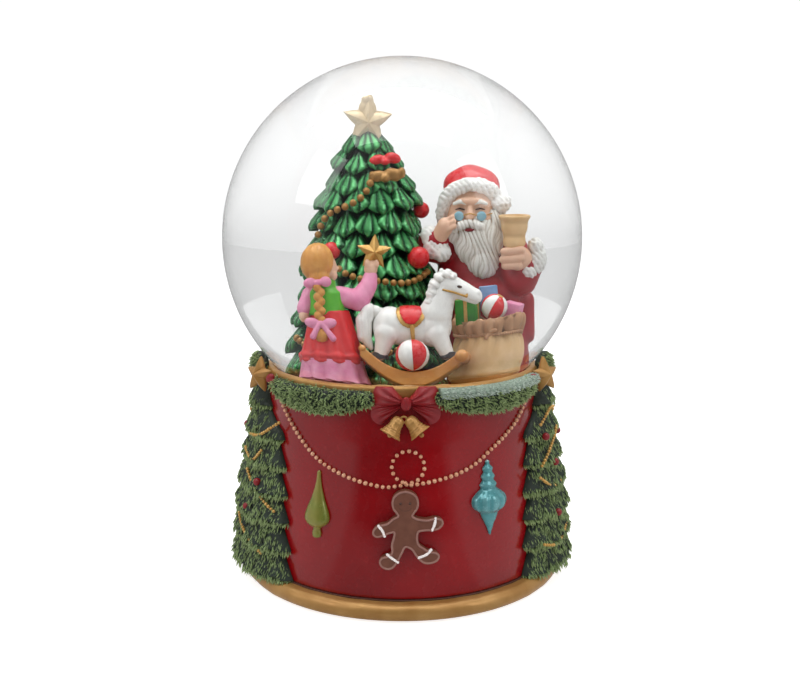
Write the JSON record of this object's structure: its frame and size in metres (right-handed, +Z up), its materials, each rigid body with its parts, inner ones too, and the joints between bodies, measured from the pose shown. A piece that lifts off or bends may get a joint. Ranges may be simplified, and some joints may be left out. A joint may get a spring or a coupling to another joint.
{
  "type": "snow globe",
  "caption": "Musical snow globe: a water-filled glass ball with a winter gift scene on a tall lacquered base with a wind-up movement.",
  "frame": {"origin": "middle of the foot, on the surface that the globe stands on", "axes": "+Z up through the ball, -Y to the front with the gingerbread figure, +X to the right"},
  "size_m": [0.1, 0.1, 0.143],
  "materials": {
    "clear_glass": "blown clear glass, polished",
    "clear_fluid": "clear water and glycerine",
    "white_rubber": "moulded white rubber",
    "ground_paint": "painted cast resin",
    "enamel_green": "pearl green enamel on cast resin",
    "gold_paint": "antiqued gold paint on cast resin",
    "figure_paint": "hand-painted cast resin in several colours",
    "white_paint": "white satin paint on cast resin",
    "tan_paint": "tan paint with brown wash on cast resin",
    "toy_paint": "bright painted cast resin",
    "red_paint": "deep red paint on cast resin",
    "red_lacquer": "clear-coated deep red lacquer on cast resin",
    "fir_green": "green paint with dark wash on cast resin",
    "bead_paint": "rose gold paint on cast resin",
    "olive_paint": "olive pearl paint on cast resin",
    "blue_paint": "teal pearl paint on cast resin",
    "pink_paint": "pink pearl paint on cast resin",
    "gingerbread_paint": "brown paint on cast resin",
    "cover_plastic": "moulded black plastic",
    "cast_zinc": "bare zinc die casting",
    "brass": "turned and cut brass",
    "steel": "bright steel"
  },
  "bodies": {
    "base": {"glass_globe": "clear_glass", "water_fill": "clear_fluid", "rubber_stopper": "white_rubber", "scene_ground": "ground_paint", "fir_tree": "enamel_green", "tree_star": "gold_paint", "girl_figure": "figure_paint", "hand_star": "gold_paint", "rocking_horse": "white_paint", "horse_rocker": "tan_paint", "beach_ball": "toy_paint", "gift_sack": "tan_paint", "gift_box": "toy_paint", "toy_ball": "toy_paint", "gift_bringer": "red_paint", "paper_scroll": "tan_paint", "base_shell": "red_lacquer", "top_rim": "gold_paint", "foot_ring": "gold_paint", "side_tree_left": "fir_green", "side_tree_right": "fir_green", "side_star_left": "gold_paint", "side_star_right": "gold_paint", "fir_swag_left": "fir_green", "fir_swag_right": "fir_green", "fir_swag_back_left": "fir_green", "fir_swag_back_right": "fir_green", "ribbon_bow": "red_paint", "bell_left": "gold_paint", "bell_right": "gold_paint", "bead_chain": "bead_paint", "bead_chain_right": "bead_paint", "bead_chain_back": "bead_paint", "teardrop_ornament": "olive_paint", "onion_ornament": "blue_paint", "back_bauble": "pink_paint", "gingerbread_figure": "gingerbread_paint", "base_cover": "cover_plastic", "cover_screw_1": "steel", "cover_screw_2": "steel", "cover_screw_3": "steel", "movement_screw_1": "steel", "movement_screw_2": "steel", "movement_bedplate": "cast_zinc", "music_comb": "steel", "comb_screw": "steel", "spring_housing": "steel", "mainspring": "steel", "cylinder_bracket_inner": "cast_zinc", "cylinder_bracket_outer": "cast_zinc", "governor_frame": "cast_zinc"},
    "winding_train": {"winding_key": "cast_zinc", "winding_shaft": "steel", "great_wheel": "brass"},
    "cylinder_train": {"pinned_cylinder": "brass", "cylinder_pinion": "brass", "cylinder_gear": "brass"},
    "governor_arbor": {"governor_wheel": "brass"},
    "air_brake": {"governor_worm": "steel"}
  },
  "joints": [
    {"name": "winding", "type": "hinge", "parent": "base", "child": "winding_train", "pos_m": [0, 0, 0.01], "axis": [0, 0, 1], "continuous": true},
    {"name": "cylinder_spin", "type": "hinge", "parent": "base", "child": "cylinder_train", "pos_m": [0.02, 0, 0.0191], "axis": [1, 0, 0], "continuous": true},
    {"name": "governor_spin", "type": "hinge", "parent": "base", "child": "governor_arbor", "pos_m": [0.02, 0.008, 0.0191], "axis": [1, 0, 0], "continuous": true},
    {"name": "brake_spin", "type": "hinge", "parent": "base", "child": "air_brake", "pos_m": [0.0229, 0.0128, 0.02], "axis": [0, 0, 1], "continuous": true}
  ],
  "couplings": [
    {"joint": "cylinder_spin", "follows": "winding", "ratio": -4},
    {"joint": "governor_spin", "follows": "winding", "ratio": 5.3333},
    {"joint": "brake_spin", "follows": "winding", "ratio": 42.667}
  ]
}
